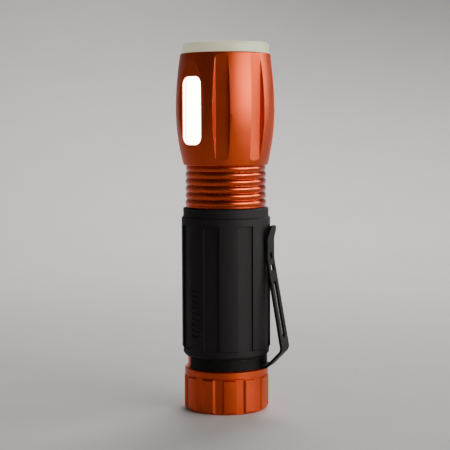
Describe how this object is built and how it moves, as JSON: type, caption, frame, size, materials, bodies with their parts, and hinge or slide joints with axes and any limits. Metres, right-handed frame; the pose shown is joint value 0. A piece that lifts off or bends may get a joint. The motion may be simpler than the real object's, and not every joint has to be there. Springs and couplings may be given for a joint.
{
  "type": "hand flashlight",
  "caption": "Slim hand flashlight with a fluted metal head, side work light, luminous front ring, rubber grip, pocket clip and magnetic screw-on tail cap.",
  "frame": {"origin": "centre of the tail cap's flat base", "axes": "+Z along the barrel from the tail cap to the front lens, +X through the pocket clip's arm, +Y completes a right-handed frame"},
  "size_m": [0.0459, 0.0406, 0.15],
  "materials": {
    "orange_anodised": "satin anodised",
    "grip_rubber": "matt",
    "glow_plastic": "luminous, satin",
    "clear_lens": "polished",
    "seal_rubber": "matt",
    "reflector_mirror": "smooth mirror",
    "bare_aluminium": "turned",
    "black_plastic": "moulded",
    "white_plastic": "moulded",
    "white_board": "solder mask",
    "green_board": "solder mask",
    "led_ceramic": "glazed",
    "led_silicone": "clear",
    "brass": "plated",
    "gold_spring": "plated",
    "bright_spring": "plated",
    "wire_red": "insulation",
    "wire_white": "insulation",
    "wire_black": "insulation",
    "work_light_emitter": "phosphor gel",
    "button_rubber": "matt",
    "cell_wrap": "printed film, left plain",
    "black_steel": "black satin coat",
    "magnet_nickel": "nickel plate"
  },
  "bodies": {
    "barrel": {"barrel_tube": "orange_anodised", "grip_sleeve": "grip_rubber", "head_shell": "orange_anodised", "glow_bezel": "glow_plastic", "front_lens": "clear_lens", "lens_gasket": "seal_rubber", "reflector": "reflector_mirror", "heatsink_pill": "bare_aluminium", "led_board": "white_board", "led_package": "led_ceramic", "led_dome": "led_silicone", "led_centring_ring": "white_plastic", "driver_board": "green_board", "driver_retaining_ring": "brass", "driver_components": "black_plastic", "contact_spring": "gold_spring", "spot_wires": "wire_red", "work_light_wires": "wire_white", "switch_wires": "wire_black", "work_light_window": "clear_lens", "work_light_board": "white_board", "work_light_strip": "work_light_emitter", "work_light_dam": "seal_rubber", "button_retainer": "black_plastic", "switch_body": "black_plastic", "switch_board": "green_board", "tail_o_ring": "seal_rubber", "head_o_ring": "seal_rubber"},
    "power_button": {"button_key": "button_rubber", "switch_plunger": "white_plastic"},
    "pocket_clip": {"pocket_clip": "black_steel"},
    "battery_carrier": {"carrier_rear_contact": "brass", "carrier_rear_plate": "black_plastic", "carrier_front_plate": "black_plastic", "carrier_front_button": "brass", "carrier_spine": "black_plastic", "battery_cell_1": "cell_wrap", "battery_cell_2": "cell_wrap", "battery_cell_3": "cell_wrap", "carrier_springs": "bright_spring", "carrier_tabs": "brass"},
    "tail_insert": {"tail_magnet": "magnet_nickel", "tail_contact_plate": "brass", "tail_spring": "gold_spring"},
    "tail_cap": {"tail_cap_shell": "orange_anodised", "magnet_cover": "black_plastic", "tail_retaining_ring": "bare_aluminium"}
  },
  "joints": [
    {"name": "power_button_press", "type": "slide", "parent": "barrel", "child": "power_button", "axis": [-0.4478, -0.8942, 0], "range_m": [0, 0.0008], "stiffness_N_per_m": 2500, "springref_m": -0.0004},
    {"name": "pocket_clip_swivel", "type": "hinge", "parent": "barrel", "child": "pocket_clip", "pos_m": [0, 0, 0.02], "axis": [0, 0, 1], "continuous": true},
    {"name": "battery_carrier_slide", "type": "slide", "parent": "battery_carrier", "child": "barrel", "axis": [0, 0, 1], "range_m": [0, 0.07]},
    {"name": "tail_cap_travel", "type": "slide", "parent": "tail_insert", "child": "battery_carrier", "axis": [0, 0, 1], "range_m": [0, 0.006]},
    {"name": "tail_cap_turn", "type": "hinge", "parent": "tail_cap", "child": "tail_insert", "pos_m": [0, 0, 0], "axis": [0, 0, 1], "range_deg": [0, 1440]}
  ],
  "couplings": [
    {"joint": "tail_cap_travel", "follows": "tail_cap_turn", "m_per_rad": 0.00023873}
  ]
}
